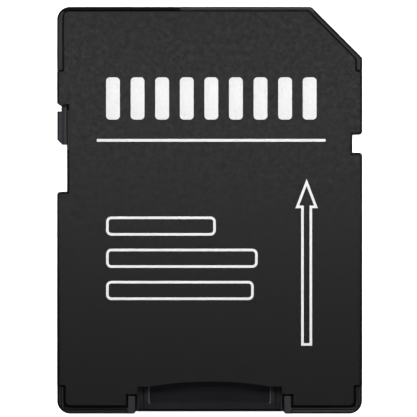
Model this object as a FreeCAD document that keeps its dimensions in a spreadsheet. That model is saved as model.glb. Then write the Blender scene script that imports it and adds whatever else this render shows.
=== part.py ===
import FreeCAD, Part
import math
import operator
import os

import Sketcher

# Memory card adapter: a full-size card shell with a slot at its rear for a small card.
# X points to the side with the cut corner, Y to the contact end and Z out of the label side.
# The origin is in the middle of the outline, on the contact side.

# Driving sizes in millimetres
SIZES = {
    # Outline of the full-size card
    "card_width": 24.0,
    "card_length": 32.0,
    "card_thick": 2.1,
    "corner_cut": 4.0,
    "corner_radius": 1.0,
    "cut_radius": 0.3,
    "ledge_width": 0.75,
    "plate_fillet": 0.2,
    "seam_fillet": 0.05,
    "floor_bevel": 0.15,
    "rim_fillet": 0.2,
    # Levels and walls
    "floor_thick": 0.7,
    "cavity_height": 0.75,
    "side_wall": 0.8,
    "rib_wall": 0.6,
    "shell_gap": 0.03,
    # Rim of the lower shell around the plate
    "front_wrap": 4.95,
    "rear_wrap": 2.12,
    "front_rim_drop": 0.1,
    "rear_rim_drop": 0.3,
    "rim_front": 0.25,
    "rim_side": 0.42,
    "rim_cut": 0.35,
    "rim_rear": 0.43,
    "rim_band": 0.3,
    "rim_step": 0.13,
    "front_seam_gap": 0.09,
    "rear_seam_gap": 0.23,
    "plate_end_gap": 0.14,
    "plate_radius": 0.4,
    "wrap_radius": 0.15,
    # Lock window, lock slider and the notch on the other side
    "lock_from_front": 7.84,
    "lock_length": 6.7,
    "lock_depth": 0.8,
    "lock_flare": 0.25,
    "lock_flare_depth": 0.36,
    "lock_relief": 0.19,
    "lock_relief_width": 0.3,
    "lock_relief_depth": 0.4,
    "notch_from_front": 10.05,
    "notch_length": 1.42,
    "notch_depth": 0.78,
    "notch_radius": 0.25,
    "tab_inset": 0.02,
    "tab_length": 2.95,
    "tab_step": 0.33,
    "tab_chamfer": 0.38,
    "tab_fillet": 0.12,
    "grip_inset": 0.43,
    "grip_width": 0.24,
    "grip_depth": 0.14,
    "lip_reach": 0.12,
    "lip_height": 0.4,
    "lock_gap": 0.05,
    "sill_height": 0.25,
    "sill_width": 0.35,
    "foot_width": 0.5,
    "foot_length": 2.2,
    "bump_height": 0.06,
    "bump_length": 0.4,
    # Slot for the small card
    "slot_width": 11.2,
    "slot_narrow": 9.9,
    "slot_shoulder": 6.5,
    "slot_depth": 15.15,
    "nub_height": 0.12,
    "nub_length": 1.2,
    "nub_from_shoulder": 2.0,
    # Mouth of the slot
    "tongue_inset": 0.13,
    "tongue_past_slot": 0.1,
    "rail_width": 0.95,
    "rail_chamfer": 0.07,
    "rail_groove_inset": 0.38,
    "rail_groove_width": 0.16,
    "rail_groove_depth": 0.12,
    "recess_depth": 0.2,
    "recess_ramp": 0.15,
    "recess_lip": 0.92,
    "recess_length": 3.2,
    "groove_width": 0.13,
    "groove_depth": 0.35,
    "jamb_width": 0.63,
    "jamb_length": 1.45,
    "jamb_bevel": 0.15,
    "jamb_fillet": 0.08,
    "jamb_gap": 0.09,
    "mouth_rear_inset": 1.53,
    "mouth_past_slot": 0.05,
    "mouth_inset": 2.12,
    "arch_inside_slot": 0.9,
    "arch_rise": 0.39,
    # Hollows, ribs and locating pins
    "hollow_rear": 3.1,
    "pin_radius": 0.5,
    "pin_length": 0.6,
    "pin_gap": 0.05,
    "boss_radius": 1.1,
    "pin_row_rear": 6.6,
    "pin_row_pitch": 6.4,
    # Contact windows and pads
    "nine_from_edge": 3.125,
    "eight_from_edge": 1.745,
    "pad_seven_pitch": 2.43,
    "pad_eight_pitch": 1.7,
    "window_length": 5.6,
    "window_rib": 0.8,
    "window_seven": 1.5,
    "window_eight": 1.1,
    "nine_setback": 0.9,
    "nine_pad_inset": 3.15,
    "pad_inset": 1.0,
    "pad_overlap": 0.1,
    # Stamped contacts
    "strip_thick": 0.15,
    "strip_width": 0.5,
    "finger_pitch": 1.1,
    "finger_edge": 1.1,
    "lead_straight": 4.25,
    "lead_neck": 0.15,
    "finger_flat": 0.35,
    "finger_reach": 3.25,
    "finger_apex": 2.35,
    "finger_rise_angle": 14.0,
    "finger_fall_angle": 32.0,
    "root_bend": 0.9,
    "apex_bend": 0.55,
    "bridge_lift": 0.2,
    "bridge_width": 0.5,
    "bridge_from_pad": 0.9,
    # Contact carrier
    "front_wall": 0.85,
    "cut_wall": 0.8,
    "carrier_margin": 0.3,
    "pad_margin": 0.07,
    "carrier_gap": 0.03,
    "relief_depth": 0.45,
    "relief_margin": 0.35,
}

OPERATIONS = {"+": operator.add, "-": operator.sub, "*": operator.mul, "/": operator.truediv}
ROOT_TWO = math.sqrt(2.0)
# How far a cutting outline runs past the face that it opens
PAST = 1.0
# Lengths that differ by less than SAME are equal, and a point within NEARBY of a place lies at it
SAME = 1e-4
NEARBY = 0.01
# The rounded ends of the cut corner lie up to this far inside its straight lines
CORNER_REACH = 0.03


class Size:
    """A length together with the sheet formula that gives it."""

    def __init__(self, value, text):
        self.value = float(value)
        self.text = text

    def __add__(self, other):
        return combine(self, "+", other)

    def __radd__(self, other):
        return combine(other, "+", self)

    def __sub__(self, other):
        return combine(self, "-", other)

    def __rsub__(self, other):
        return combine(other, "-", self)

    def __mul__(self, other):
        return combine(self, "*", other)

    def __rmul__(self, other):
        return combine(other, "*", self)

    def __truediv__(self, other):
        return combine(self, "/", other)

    def __neg__(self):
        return combine(0.0, "-", self)


def as_size(term):
    if isinstance(term, Size):
        return term
    return Size(term, repr(float(term)))


def combine(left, sign, right):
    left = as_size(left)
    right = as_size(right)
    value = OPERATIONS[sign](left.value, right.value)
    return Size(value, f"({left.text} {sign} {right.text})")


def make_sheet(doc):
    sheet = doc.addObject("Spreadsheet::Sheet", "Sizes")
    for row, (name, value) in enumerate(SIZES.items(), start=1):
        sheet.set(f"A{row}", name)
        sheet.set(f"B{row}", str(value))
        sheet.setAlias(f"B{row}", name)
    doc.recompute()
    return sheet


def size(name):
    return Size(SIZES[name], f"Sizes.{name}")


def bind(feature, path, value):
    feature.setExpression(path, as_size(value).text)


doc = FreeCAD.newDocument("memory_card_adapter")
make_sheet(doc)

# Levels, from the contact side up to the label side
seat = size("floor_thick")
deck = seat + size("cavity_height")
top = size("card_thick")
front_rim_top = top - size("front_rim_drop")
rear_rim_top = top - size("rear_rim_drop")
band_top = rear_rim_top - size("rim_step")

# Outline
side = size("card_width") / 2
front = size("card_length") / 2
rear = -front
cut = size("corner_cut")
ledge_side = side - size("ledge_width")
wrap_front = front - size("front_wrap")
wrap_rear = rear + size("rear_wrap")
plate_front_end = wrap_front - size("plate_end_gap")
plate_rear_end = wrap_rear + size("plate_end_gap")

# Slot for the small card: full width at the rear, narrower on the cut side beyond its shoulder
slot_side = size("slot_width") / 2
slot_right = size("slot_narrow") - slot_side
shoulder = rear + size("slot_shoulder")
stop = rear + size("slot_depth")
tongue_side = slot_side + size("tongue_past_slot")
jamb_inside = tongue_side + size("groove_width")
jamb_outside = jamb_inside + size("jamb_width")
jamb_front = rear + size("jamb_length")
rail_inside = tongue_side - size("rail_width")

# Lock
lock_side = side - size("lock_depth")
lock_front = front - size("lock_from_front")
lock_rear = lock_front - size("lock_length")
lip_recess_front = lock_front + size("lip_reach") + size("lock_gap")
channel_inside = lock_side - size("sill_width") - size("foot_width") - 3 * size("lock_gap")
foot_front = lock_front - size("lock_gap") - (size("tab_length") - size("foot_length")) / 2
bump_rest = foot_front - size("foot_length") / 2
lock_travel = size("lock_length") - size("tab_length") - 2 * size("lock_gap")

# Notch in the other side
notch_front = front - size("notch_from_front")
notch_rear = notch_front - size("notch_length")

# Each contact's name and the full-size card's pad that it leads to, in the order of the small card's pins
CONTACTS = {
    "data2_contact": "nine",
    "data3_contact": "one",
    "command_contact": "two",
    "supply_contact": "four",
    "clock_contact": "five",
    "ground_contact": "six",
    "data0_contact": "seven",
    "data1_contact": "eight",
}
SECOND_GROUND_PAD = "three"
# Pads that share one pitch, from the cut corner on. Seven and eight stand closer together.
EVEN_PADS = ("nine", "one", "two", "three", "four", "five", "six")

# Pads and their windows in the floor
pad_run = size("card_width") - size("nine_from_edge") - size("eight_from_edge")
even_run = pad_run - size("pad_seven_pitch") - size("pad_eight_pitch")
pad_pitch = even_run / (len(EVEN_PADS) - 1)
pad_centre = {}
window_half = {}
for place, pad in enumerate(EVEN_PADS):
    pad_centre[pad] = side - size("nine_from_edge") - place * pad_pitch
    window_half[pad] = (pad_pitch - size("window_rib")) / 2
pad_centre["seven"] = pad_centre["six"] - size("pad_seven_pitch")
pad_centre["eight"] = pad_centre["seven"] - size("pad_eight_pitch")
window_half["seven"] = size("window_seven") / 2
window_half["eight"] = size("window_eight") / 2
pads_rear = front - size("window_length")
pads_front = front - size("pad_inset")

# Fingers of the small card's pins
finger_centre = {}
for place, name in enumerate(CONTACTS):
    finger_centre[name] = slot_right - size("finger_edge") - place * size("finger_pitch")
first_finger = finger_centre["data2_contact"]
last_finger = finger_centre["data1_contact"]


def new_body(name):
    body = doc.addObject("PartDesign::Body", name)
    body.Label = name
    return body


def origin_plane(body, role):
    return next(plane for plane in body.Origin.OriginFeatures if plane.Role == role)


def new_sketch(body, name, role="XY_Plane", offset=None):
    sketch = body.newObject("Sketcher::SketchObject", name)
    sketch.AttachmentSupport = [(origin_plane(body, role), "")]
    sketch.MapMode = "FlatFace"
    if offset is not None:
        bind(sketch, "AttachmentOffset.Base.z", offset)
    return sketch


def arc_between(start, end, radius):
    # The short arc from start to end that bulges to the left of that direction
    chord = end - start
    half = chord.Length / 2
    rise = radius - math.sqrt(radius * radius - half * half)
    left = FreeCAD.Vector(-chord.y, chord.x, 0).normalize()
    return Part.Arc(start, (start + end) / 2 + left * rise, end)


def spot_of(corner):
    return FreeCAD.Vector(as_size(corner[0]).value, as_size(corner[1]).value, 0)


def rounded_ends(before, corner, after):
    # Where the rounding of a corner (x, y, radius) starts and ends on its two edges, and its arc
    spot = spot_of(corner)
    back = (spot_of(before) - spot).normalize()
    ahead = (spot_of(after) - spot).normalize()
    half_angle = back.getAngle(ahead) / 2
    reach = corner[2] / math.tan(half_angle)
    start = (corner[0] + reach * back.x, corner[1] + reach * back.y)
    end = (corner[0] + reach * ahead.x, corner[1] + reach * ahead.y)
    radius = corner[2].value
    inward = (back + ahead).normalize()
    middle = spot + inward * (radius / math.sin(half_angle) - radius)
    return start, end, Part.Arc(spot_of(start), middle, spot_of(end))


def end_at(sketch, edge, spot):
    # Number of the edge's end that lies at the spot: a sketch may turn an arc round
    if (sketch.getPoint(edge, 1) - spot).Length < SAME:
        return 1
    return 2


def draw_loop(sketch, corners, arch=None):
    # Closed outline through corners (x, y), or (x, y, radius) for a rounded one. Each point is held by
    # its two distances from the origin. arch is the radius of the edge that closes the loop, if round.
    points = []
    shapes = []
    for index, corner in enumerate(corners):
        if len(corner) == 2:
            points.append(corner)
            shapes.append((None, None))
            continue
        after = corners[(index + 1) % len(corners)]
        start, end, arc = rounded_ends(corners[index - 1], corner, after)
        points += [start, end]
        shapes += [(arc, corner[2]), (None, None)]
    spots = [spot_of(point) for point in points]
    if arch is not None:
        shapes[-1] = (arc_between(spots[-1], spots[0], arch.value), arch)
    edges = []
    for index, (shape, radius) in enumerate(shapes):
        line = shape or Part.LineSegment(spots[index], spots[(index + 1) % len(spots)])
        edges.append(sketch.addGeometry(line, False))
    held = []
    for index, point in enumerate(points):
        near = end_at(sketch, edges[index], spots[index])
        far = end_at(sketch, edges[index - 1], spots[index])
        held.append((("Coincident", edges[index - 1], far, edges[index], near), None))
        held.append((("DistanceX", -1, 1, edges[index], near, spots[index].x), point[0]))
        held.append((("DistanceY", -1, 1, edges[index], near, spots[index].y), point[1]))
        if shapes[index][1] is not None:
            radius = shapes[index][1]
            held.append((("Radius", edges[index], radius.value), radius))
    hold(sketch, held)


def hold(sketch, held):
    # Adds the constraints in one go and binds those that have a size
    first = sketch.ConstraintCount
    sketch.addConstraint([Sketcher.Constraint(*terms) for terms, value in held])
    for number, (terms, value) in enumerate(held, start=first):
        if value is not None:
            bind(sketch, f"Constraints[{number}]", value)


def draw_circle(sketch, x, y, radius):
    centre = spot_of((x, y))
    edge = sketch.addGeometry(Part.Circle(centre, FreeCAD.Vector(0, 0, 1), radius.value), False)
    hold(sketch, [
        (("DistanceX", -1, 1, edge, 3, centre.x), x),
        (("DistanceY", -1, 1, edge, 3, centre.y), y),
        (("Radius", edge, radius.value), radius),
    ])


def raise_pad(body, name, low, high, *outlines, arch=None):
    # Upright prism between two levels on the given outlines, added to the body
    sketch = new_sketch(body, f"{name}_outline", offset=low)
    for corners in outlines:
        draw_loop(sketch, corners, arch)
    feature = body.newObject("PartDesign::Pad", name)
    feature.Profile = sketch
    bind(feature, "Length", high - low)
    return feature


def cut_pocket(body, name, low, high, *outlines):
    # Upright prism between two levels on the given outlines, taken out of the body
    sketch = new_sketch(body, f"{name}_outline", offset=high)
    for corners in outlines:
        draw_loop(sketch, corners)
    feature = body.newObject("PartDesign::Pocket", name)
    feature.Profile = sketch
    bind(feature, "Length", high - low)
    return feature


def rectangle(left, right, low, high):
    return [(left, low), (right, low), (right, high), (left, high)]


def mirrored(corners):
    return [(-corner[0], *corner[1:]) for corner in corners]


def mirror_across(body, name, feature):
    mirror = body.newObject("PartDesign::Mirrored", name)
    mirror.Originals = [feature]
    mirror.MirrorPlane = (origin_plane(body, "YZ_Plane"), [""])
    body.Tip = mirror
    return mirror


def level_edges(shape, level, wanted=None):
    # Names of the edges that lie at a level, all or those whose middle passes the test
    names = []
    for number, edge in enumerate(shape.Edges, start=1):
        box = edge.BoundBox
        if abs(box.ZMin - as_size(level).value) > SAME or box.ZLength > SAME:
            continue
        middle = edge.valueAt((edge.FirstParameter + edge.LastParameter) / 2)
        if wanted is None or wanted(middle):
            names.append(f"Edge{number}")
    return names


def upright_edges(shape, places):
    # Names of the upright edges at the given places (x, y)
    spots = [spot_of(place) for place in places]
    names = []
    for number, edge in enumerate(shape.Edges, start=1):
        box = edge.BoundBox
        if box.XLength + box.YLength > SAME:
            continue
        foot = FreeCAD.Vector(box.Center.x, box.Center.y, 0)
        if any((foot - spot).Length < SAME for spot in spots):
            names.append(f"Edge{number}")
    return names


def dress_edges(body, kind, name, edges, amount):
    # Fillet or chamfer on the named edges of the body's last feature
    if not edges:
        raise RuntimeError(f"{body.Label}: {name} found no edges")
    base = body.Tip
    feature = body.newObject(f"PartDesign::{kind}", name)
    feature.Base = (base, edges)
    bind(feature, "Radius" if kind == "Fillet" else "Size", amount)
    return feature


def cut_line(inset):
    # x + y along the line that lies inside the cut corner by the inset
    return side + front - cut - inset * ROOT_TWO


def on_outline(spot):
    # Whether a point lies on the side faces of the card, with its rounded corners and its cut
    radius = size("corner_radius").value
    along = abs(spot.x) - (side.value - radius)
    across = abs(spot.y) - (front.value - radius)
    inside = radius - max(along, across)
    if along > 0 and across > 0:
        inside = radius - math.hypot(along, across)
    if spot.x > 0 and spot.y > 0:
        inside = min(side.value - spot.x, front.value - spot.y)
    from_cut = (cut_line(0.0).value - spot.x - spot.y) / ROOT_TWO
    return min(inside, from_cut) < CORNER_REACH


def window_rear(pad):
    return pads_rear - size("nine_setback") if pad == "nine" else pads_rear


def pad_half(pad):
    return window_half[pad] + size("pad_overlap")


def pad_rear(pad):
    return window_rear(pad) - size("pad_overlap")


def pad_front(pad):
    return front - size("nine_pad_inset") if pad == "nine" else pads_front


def arch_half():
    # Half the chord of the shallow thumb cut in the mouth
    return slot_side - size("arch_inside_slot")


def plate_outline():
    # The label plate: full width between the wraps of the lower shell and inside its rims beyond them
    seam = size("front_seam_gap")
    radius = size("plate_radius")
    front_side = side - size("rim_side") - seam
    rear_side = side - size("rim_rear") - size("rear_seam_gap")
    plate_front = front - size("rim_front") - seam
    plate_rear = rear + size("rim_rear") + size("rear_seam_gap")
    corner = cut_line(size("rim_cut") + seam)
    post_side = jamb_outside + size("jamb_gap")
    post_front = rear + size("mouth_rear_inset")
    mouth_side = slot_side + size("mouth_past_slot")
    mouth_front = rear + size("mouth_inset")
    right = [
        (arch_half(), mouth_front),
        (mouth_side, mouth_front),
        (mouth_side, post_front),
        (post_side, post_front),
        (post_side, plate_rear),
        (rear_side, plate_rear, radius),
        (rear_side, plate_rear_end),
        (side, plate_rear_end),
        (side, plate_front_end),
        (front_side, plate_front_end, size("wrap_radius")),
    ]
    tip = [
        (front_side, corner - front_side, size("cut_radius")),
        (corner - plate_front, plate_front, size("cut_radius")),
        (-front_side, plate_front, radius),
    ]
    return right + tip + mirrored(right)[::-1]


def lock_window_outline():
    # Window in the edge of the upper shell, with a flared front end
    flare = lock_front + size("lock_flare")
    slope = size("lock_flare") / size("lock_flare_depth")
    return [
        (-side - PAST, lock_rear),
        (-lock_side, lock_rear),
        (-lock_side, lock_front),
        (-side + size("lock_flare_depth"), lock_front),
        (-side - PAST, flare + slope * PAST),
    ]


def lock_relief_outline():
    # Shallow relief in the front end of the lock window, beside the tooth that the flare leaves
    ahead = lock_front + size("lock_relief")
    outside = -lock_side - size("lock_relief_width")
    return [
        (-lock_side, lock_front - PAST),
        (-lock_side, ahead),
        (outside, ahead),
        (-side + size("lock_flare_depth"), lock_front),
        (-side + size("lock_flare_depth"), lock_front - PAST),
    ]


def lip_recess_outline():
    # Room in the front wall of the lock window for the lip of the slider
    return rectangle(-side - PAST, -lock_side, lock_front - PAST, lip_recess_front)


def notch_outline():
    return rectangle(side - size("notch_depth"), side + PAST, notch_rear, notch_front)


def make_upper_shell():
    body = new_body("upper_shell")
    chord = arch_half()
    rise = size("arch_rise")
    arch = (chord * chord + rise * rise) / (2 * rise)
    raise_pad(body, "plate", deck, top, plate_outline(), arch=arch)
    skirt = rectangle(ledge_side + size("shell_gap"), side, wrap_rear, wrap_front)
    feature = raise_pad(body, "right_skirt", seat, deck, skirt)
    mirror_across(body, "left_skirt", feature)
    cut_pocket(body, "side_openings", seat - PAST, top + PAST, lock_window_outline(), notch_outline())
    openings = [(side, notch_rear), (side, notch_front), (-side, lock_rear)]
    doc.recompute()
    upright = upright_edges(body.Tip.Shape, openings)
    dress_edges(body, "Fillet", "opening_corners", upright, size("notch_radius"))
    cut_pocket(body, "lock_relief", top - size("lock_relief_depth"), top + PAST, lock_relief_outline())
    lip_top = seat + size("lip_height") + size("lock_gap")
    cut_pocket(body, "lip_recess", seat - PAST, lip_top, lip_recess_outline())
    sketch = new_sketch(body, "pins_outline", offset=deck)
    for x, y in pin_places():
        draw_circle(sketch, x, y, size("pin_radius"))
    pins = body.newObject("PartDesign::Pad", "locating_pins")
    pins.Profile = sketch
    pins.Reversed = True
    bind(pins, "Length", size("pin_length"))
    doc.recompute()
    sides = level_edges(pins.Shape, top, on_open_side)
    dress_edges(body, "Fillet", "side_edge", sides, size("plate_fillet"))
    doc.recompute()
    seams = level_edges(body.Tip.Shape, top, on_seam)
    dress_edges(body, "Fillet", "seam_edge", seams, size("seam_fillet"))
    return body


def on_open_side(spot):
    # Whether a point lies on the plate's free edge: the long sides, the notch and the lock window, apart
    # from the small tooth at the window's front end
    if abs(spot.x) < lock_side.value - SAME or abs(spot.y) > plate_front_end.value - NEARBY:
        return False
    at_tooth = lock_front.value - NEARBY < spot.y < lock_front.value + SIZES["lock_flare"] + NEARBY
    return spot.x > -lock_side.value - SAME or spot.x < -side.value + SAME or not at_tooth


def on_seam(spot):
    # Whether a point lies on the plate's edge beside the lower shell, at either end of the card
    return abs(spot.x) < lock_side.value and abs(spot.y) > plate_front_end.value - NEARBY


def pin_places():
    # Two locating pins in each side hollow
    first = rear + size("pin_row_rear")
    middle = (ledge_side + slot_side) / 2
    rows = [first, first + size("pin_row_pitch")]
    return [(way * middle, row) for way in (-1, 1) for row in rows]


def floor_outline():
    # Floor of the lower shell, narrower than the card by the two guide ledges up to its front end
    radius = size("corner_radius")
    return [
        (-side, rear, radius),
        (side, rear, radius),
        (side, wrap_rear),
        (ledge_side, wrap_rear),
        (ledge_side, cut_line(0.0) - ledge_side),
        (side - cut, front, size("cut_radius")),
        (-ledge_side, front, radius),
        (-ledge_side, wrap_rear),
        (-side, wrap_rear),
    ]


def wall_outline():
    # Walls of the lower shell above its floor: full width at both ends, inside the skirts between them
    radius = size("corner_radius")
    return [
        (-side, rear, radius),
        (side, rear, radius),
        (side, wrap_rear),
        (ledge_side, wrap_rear),
        (ledge_side, wrap_front),
        (side, wrap_front),
        (side, front - cut, size("cut_radius")),
        (side - cut, front, size("cut_radius")),
        (-side, front, radius),
        (-side, wrap_front),
        (-ledge_side, wrap_front),
        (-ledge_side, wrap_rear),
        (-side, wrap_rear),
    ]


def front_rim_outline():
    inside = side - size("rim_side")
    ahead = front - size("rim_front")
    corner = cut_line(size("rim_cut"))
    return [
        (side, wrap_front),
        (side, front - cut, size("cut_radius")),
        (side - cut, front, size("cut_radius")),
        (-side, front, size("corner_radius")),
        (-side, wrap_front),
        (-inside, wrap_front),
        (-inside, ahead, size("corner_radius") - size("rim_side")),
        (corner - ahead, ahead, size("cut_radius")),
        (inside, corner - inside, size("cut_radius")),
        (inside, wrap_front),
    ]


def rear_rim_outline():
    # Rim of the right-hand rear corner, with the jamb post that ends it at the mouth
    inside = side - size("rim_rear")
    behind = rear + size("rim_rear")
    return [
        (side, wrap_rear),
        (inside, wrap_rear),
        (inside, behind, size("corner_radius") - size("rim_rear")),
        (jamb_outside, behind),
        (jamb_outside, jamb_front),
        (jamb_inside, jamb_front),
        (jamb_inside, rear + size("tongue_inset")),
        (jamb_inside + size("jamb_bevel"), rear),
        (side, rear, size("corner_radius")),
    ]


def rear_band_outline():
    # Outer band of the right-hand rear rim, which lies a step lower
    return [
        (side - size("rim_band"), wrap_rear + PAST),
        (side - size("rim_band"), rear + size("rim_band"), size("corner_radius") - size("rim_band")),
        (jamb_outside, rear + size("rim_band")),
        (jamb_outside, rear - PAST),
        (side + PAST, rear - PAST),
        (side + PAST, wrap_rear + PAST),
    ]


def slot_outline():
    # Space for the small card, widened between the jamb posts
    funnel = jamb_front + (jamb_inside - slot_side)
    return [
        (-jamb_inside, rear - PAST),
        (jamb_inside, rear - PAST),
        (jamb_inside, jamb_front),
        (slot_side, funnel),
        (slot_side, shoulder),
        (slot_right, shoulder + (slot_side - slot_right)),
        (slot_right, stop + size("carrier_gap")),
        (-slot_side, stop + size("carrier_gap")),
        (-slot_side, funnel),
        (-jamb_inside, jamb_front),
    ]


def hollow_outlines():
    # Hollows beside the slot, kept a wall away from the sides, the lock channel and the carrier
    wall = size("side_wall")
    behind = rear + size("hollow_rear")
    outside = ledge_side - wall
    near = slot_right + size("rib_wall")
    slope_start = stop + size("lead_straight") - wall
    left = rectangle(-outside, -slot_side - wall, behind, lock_rear - wall)
    right = [
        (slot_side + wall, behind),
        (outside, behind),
        (outside, slope_start + (outside - near)),
        (near, slope_start),
        (near, shoulder + (slot_side - slot_right)),
        (slot_side + wall, shoulder - wall),
    ]
    return left, right


def foot_channel_outline():
    # Channel for the foot of the lock slider, with a notch for its bump at each end of the travel
    bump = size("bump_length")
    deep = channel_inside - size("bump_height") - size("lock_gap")
    outline = [(-lock_side + size("sill_width"), lock_rear), (-channel_inside, lock_rear)]
    for centre in (bump_rest - lock_travel, bump_rest):
        outline += [
            (-channel_inside, centre - bump),
            (-deep, centre - bump / 2),
            (-deep, centre + bump / 2),
            (-channel_inside, centre + bump),
        ]
    outline += [(-channel_inside, lock_front), (-lock_side + size("sill_width"), lock_front)]
    return outline


def carrier_outline(gap):
    # Outline of the contact carrier, grown by the gap on every side but the rear
    half = size("strip_width") / 2 + size("carrier_margin") + gap
    fan_rear = stop + size("lead_straight")
    fan_left = pad_rear("eight") - size("lead_neck")
    fan_right = pad_rear("nine") - size("lead_neck")
    bar_left = last_finger - half
    bar_right = first_finger + half
    left = pad_centre["eight"] - pad_half("eight") - size("pad_margin") - gap
    right = pad_centre["nine"] + pad_half("nine") + size("pad_margin") + gap
    ahead = front - size("front_wall") - size("carrier_gap") + gap
    corner = cut_line(size("cut_wall") + size("carrier_gap") - gap)
    return [
        (bar_left, stop),
        (bar_right, stop),
        (bar_right, fan_rear),
        (pad_centre["nine"] + half, fan_right),
        (right, fan_right),
        (right, corner - right),
        (corner - ahead, ahead),
        (left, ahead),
        (left, fan_left),
        (pad_centre["eight"] - half, fan_left),
        (bar_left, fan_rear),
    ]


def tongue_end_outline():
    # Takes the end of the floor back between the jamb posts and bevels their outer corners
    edge = jamb_inside + size("jamb_bevel")
    return [
        (-edge, rear - PAST),
        (edge, rear - PAST),
        (edge, rear),
        (jamb_inside, rear + size("tongue_inset")),
        (-jamb_inside, rear + size("tongue_inset")),
        (-edge, rear),
    ]


def window_outlines():
    outlines = []
    for pad, centre in pad_centre.items():
        half = window_half[pad]
        outlines.append(rectangle(centre - half, centre + half, window_rear(pad), front + PAST))
    return outlines


def make_lower_shell():
    body = new_body("lower_shell")
    floor = raise_pad(body, "floor", 0.0, seat, floor_outline())
    doc.recompute()
    dress_edges(body, "Chamfer", "floor_edge", level_edges(floor.Shape, 0.0), size("floor_bevel"))
    raise_pad(body, "walls", seat, deck, wall_outline())
    right_rim = rear_rim_outline()
    raise_pad(body, "front_rim", deck, front_rim_top, front_rim_outline())
    raise_pad(body, "rear_rims", deck, rear_rim_top, right_rim, mirrored(right_rim))
    right_band = rear_band_outline()
    cut_pocket(body, "rim_bands", band_top, rear_rim_top + PAST, right_band, mirrored(right_band))
    cut_pocket(body, "card_slot", seat, deck + PAST, slot_outline())
    left_hollow, right_hollow = hollow_outlines()
    cut_pocket(
        body, "inner_pockets", seat, deck + PAST,
        carrier_outline(size("carrier_gap")), left_hollow, right_hollow, foot_channel_outline(),
    )
    sill = rectangle(-lock_side, -lock_side + size("sill_width"), lock_rear, lock_front)
    cut_pocket(body, "sill_top", seat + size("sill_height"), deck + PAST, sill)
    relief = rectangle(-side - PAST, -lock_side, lock_rear, lip_recess_front)
    cut_pocket(
        body, "side_openings", -PAST, top + PAST, relief, notch_outline(), tongue_end_outline()
    )
    cut_mouth(body)
    cut_pocket(body, "contact_windows", -PAST, seat, *window_outlines())
    add_bosses(body)
    doc.recompute()
    edges = level_edges(body.Tip.Shape, front_rim_top, on_outline)
    edges += level_edges(body.Tip.Shape, band_top, on_outline)
    dress_edges(body, "Fillet", "rim_edge", edges, size("rim_fillet"))
    doc.recompute()
    edges = level_edges(body.Tip.Shape, rear_rim_top, on_jamb)
    dress_edges(body, "Fillet", "jamb_edge", edges, size("jamb_fillet"))
    return body


def on_jamb(spot):
    # Whether a point lies on the top edge of a jamb post
    return abs(spot.x) < jamb_outside.value + SAME


def cut_mouth(body):
    behind = rear + size("recess_lip")
    recess = rectangle(-rail_inside, rail_inside, behind, behind + size("recess_length"))
    cut_pocket(body, "floor_recess", seat - size("recess_depth"), seat + PAST, recess)
    doc.recompute()
    ramp = level_edges(body.Tip.Shape, seat, lambda spot: abs(spot.y - behind.value) < SAME)
    dress_edges(body, "Chamfer", "recess_ramp", ramp, size("recess_ramp"))
    rail_groove = rail_inside + size("rail_groove_inset")
    groove = rectangle(
        rail_groove, rail_groove + size("rail_groove_width"), rear - PAST, behind + size("recess_length")
    )
    feature = cut_pocket(body, "right_rail_groove", seat - size("rail_groove_depth"), seat + PAST, groove)
    mirror_across(body, "left_rail_groove", feature)
    groove = rectangle(tongue_side, jamb_inside, rear - PAST, jamb_front)
    feature = cut_pocket(body, "right_groove", seat - size("groove_depth"), seat + PAST, groove)
    mirror_across(body, "left_groove", feature)
    doc.recompute()
    rails = level_edges(body.Tip.Shape, seat, on_rail_edge)
    dress_edges(body, "Chamfer", "rail_edges", rails, size("rail_chamfer"))
    # Room under the fingers for their travel when a card presses them down
    margin = size("strip_width") / 2 + size("relief_margin")
    reach = stop - size("finger_reach") - size("relief_margin")
    relief = rectangle(last_finger - margin, first_finger + margin, reach, stop)
    cut_pocket(body, "finger_relief", seat - size("relief_depth"), seat + PAST, relief)


def on_rail_edge(spot):
    # Whether a point lies on the inner or the outer edge of a rail in the mouth
    across = abs(spot.x)
    on_edge = min(abs(across - rail_inside.value), abs(across - tongue_side.value)) < SAME
    return on_edge and spot.y < shoulder.value


def add_bosses(body):
    # A cross rib with a bored boss receives each locating pin
    half = size("rib_wall") / 2
    sink = size("side_wall") / 2
    ribs = []
    for x, y in pin_places():
        inside = slot_side + sink
        if x.value > 0 and y.value > shoulder.value:
            inside = slot_right + half
        rib = rectangle(inside, ledge_side - sink, y - half, y + half)
        ribs.append(mirrored(rib) if x.value < 0 else rib)
    raise_pad(body, "ribs", seat, deck, *ribs)
    sketch = new_sketch(body, "bosses_outline", offset=seat)
    for x, y in pin_places():
        draw_circle(sketch, x, y, size("boss_radius"))
    bosses = body.newObject("PartDesign::Pad", "bosses")
    bosses.Profile = sketch
    bind(bosses, "Length", deck - seat)
    sketch = new_sketch(body, "bores_outline", offset=deck)
    for x, y in pin_places():
        draw_circle(sketch, x, y, size("pin_radius") + size("pin_gap"))
    bores = body.newObject("PartDesign::Pocket", "bores")
    bores.Profile = sketch
    bind(bores, "Length", deck - seat)
    # Nub on the thin wall, which springs aside as the small card passes
    start = shoulder + (slot_side - slot_right) + size("nub_from_shoulder")
    tip = slot_right - size("nub_height")
    slope = size("nub_height") * 2
    nub = [
        (slot_right, start),
        (slot_right, start + size("nub_length")),
        (tip, start + size("nub_length") - slope),
        (tip, start + slope),
    ]
    raise_pad(body, "retaining_nub", seat, deck - size("shell_gap"), nub)


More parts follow.
